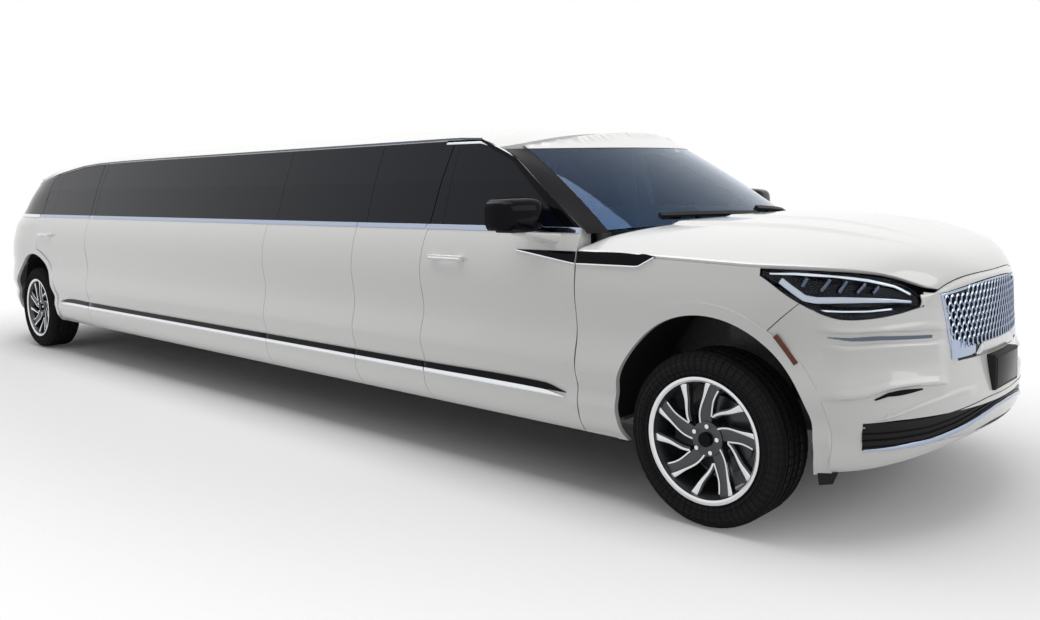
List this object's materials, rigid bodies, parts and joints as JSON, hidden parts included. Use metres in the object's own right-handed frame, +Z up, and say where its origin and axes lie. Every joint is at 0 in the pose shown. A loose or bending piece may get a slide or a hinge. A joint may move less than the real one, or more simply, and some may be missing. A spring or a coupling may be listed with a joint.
{
  "type": "stretch limousine",
  "caption": "Long-wheelbase stretch limousine with opening doors, hood and tailgate, steered front wheels and a lounge cabin.",
  "frame": {"origin": "on the ground under the middle of the car's length and width", "axes": "+X forward along the car, +Y to the car's left, +Z up"},
  "size_m": [9.2034, 2.38, 1.7717],
  "materials": {
    "paint": "pearl white gloss paint",
    "glass_dark": "dark tinted glass",
    "glass_clear": "clear laminated glass with a blue tint",
    "gloss_black": "gloss black moulding",
    "lamp": "dark lamp unit under a clear cover",
    "lamp_red": "red lamp cover",
    "chrome_trim": "bright plating",
    "matte_black": "textured black plastic",
    "alloy": "machined alloy",
    "tyre_rubber": "black rubber",
    "steel": "dark steel",
    "iron": "cast iron",
    "leather_black": "black leather",
    "wood_dark": "dark lacquered wood",
    "carpet": "dark carpet and lining"
  },
  "bodies": {
    "body": {"arch_liners": "matte_black", "bar_cabinet": "wood_dark", "chassis_rails": "steel", "dashboard": "matte_black", "drive_shaft": "steel", "engine": "iron", "exhaust": "steel", "fender_left": "paint", "fender_right": "paint", "floor_pan": "carpet", "front_fascia": "paint", "front_seats": "leather_black", "front_structure": "steel", "front_subframe": "steel", "fuel_tank": "steel", "grille": "chrome_trim", "headlamps": "lamp", "lounge_seats": "leather_black", "lower_grille": "matte_black", "partition": "carpet", "quarter_glass": "glass_dark", "quarter_left": "paint", "quarter_right": "paint", "rear_axle": "iron", "rear_bumper": "paint", "roof": "paint", "steering_wheel": "matte_black", "stretch_glass_left": "glass_dark", "stretch_glass_right": "glass_dark", "stretch_panels_left": "paint", "stretch_panels_right": "paint", "windscreen": "glass_clear", "windscreen_pillars": "gloss_black", "wipers": "matte_black"},
    "hood": {"hood": "paint"},
    "front_door_left": {"front_door_left": "paint", "front_glass_left": "glass_dark", "mirror_left": "gloss_black"},
    "front_door_right": {"front_door_right": "paint", "front_glass_right": "glass_dark", "mirror_right": "gloss_black"},
    "rear_door_left": {"rear_door_left": "paint", "rear_door_glass_left": "glass_dark"},
    "rear_door_right": {"rear_door_right": "paint", "rear_door_glass_right": "glass_dark"},
    "liftgate": {"liftgate": "paint", "gate_glass": "glass_dark", "gate_lamp": "lamp_red"},
    "knuckle_left": {"knuckle_left": "iron"},
    "knuckle_right": {"knuckle_right": "iron"},
    "wheel_front_left": {"wheel_front_left": "alloy", "tyre_front_left": "tyre_rubber"},
    "wheel_front_right": {"wheel_front_right": "alloy", "tyre_front_right": "tyre_rubber"},
    "wheel_rear_left": {"wheel_rear_left": "alloy", "tyre_rear_left": "tyre_rubber"},
    "wheel_rear_right": {"wheel_rear_right": "alloy", "tyre_rear_right": "tyre_rubber"}
  },
  "joints": [
    {"name": "hood_lift", "type": "hinge", "parent": "body", "child": "hood", "pos_m": [3.065, 0, 1.225], "axis": [0, -1, 0], "range_deg": [0, 55]},
    {"name": "front_door_left_swing", "type": "hinge", "parent": "body", "child": "front_door_left", "pos_m": [3.1275, 0.945, 0.73], "axis": [0, 0, -1], "range_deg": [0, 70]},
    {"name": "front_door_right_swing", "type": "hinge", "parent": "body", "child": "front_door_right", "pos_m": [3.1275, -0.945, 0.73], "axis": [0, 0, 1], "range_deg": [0, 70]},
    {"name": "rear_door_left_swing", "type": "hinge", "parent": "body", "child": "rear_door_left", "pos_m": [-2.1975, 0.945, 0.73], "axis": [0, 0, -1], "range_deg": [0, 70]},
    {"name": "rear_door_right_swing", "type": "hinge", "parent": "body", "child": "rear_door_right", "pos_m": [-2.1975, -0.945, 0.73], "axis": [0, 0, 1], "range_deg": [0, 70]},
    {"name": "liftgate_lift", "type": "hinge", "parent": "body", "child": "liftgate", "pos_m": [-3.842, 0, 1.676], "axis": [0, 1, 0], "range_deg": [0, 80]},
    {"name": "steer_left", "type": "hinge", "parent": "body", "child": "knuckle_left", "pos_m": [3.715, 0.775, 0.364], "axis": [0, 0, 1], "range_deg": [-33, 33]},
    {"name": "steer_right", "type": "hinge", "parent": "body", "child": "knuckle_right", "pos_m": [3.715, -0.775, 0.364], "axis": [0, 0, 1], "range_deg": [-33, 33]},
    {"name": "front_left_spin", "type": "hinge", "parent": "knuckle_left", "child": "wheel_front_left", "pos_m": [3.715, 0.85, 0.364], "axis": [0, 1, 0], "continuous": true},
    {"name": "front_right_spin", "type": "hinge", "parent": "knuckle_right", "child": "wheel_front_right", "pos_m": [3.715, -0.85, 0.364], "axis": [0, 1, 0], "continuous": true},
    {"name": "rear_left_spin", "type": "hinge", "parent": "body", "child": "wheel_rear_left", "pos_m": [-3.45, 0.85, 0.364], "axis": [0, 1, 0], "continuous": true},
    {"name": "rear_right_spin", "type": "hinge", "parent": "body", "child": "wheel_rear_right", "pos_m": [-3.45, -0.85, 0.364], "axis": [0, 1, 0], "continuous": true}
  ],
  "couplings": [
    {"joint": "steer_right", "follows": "steer_left", "ratio": 1}
  ]
}
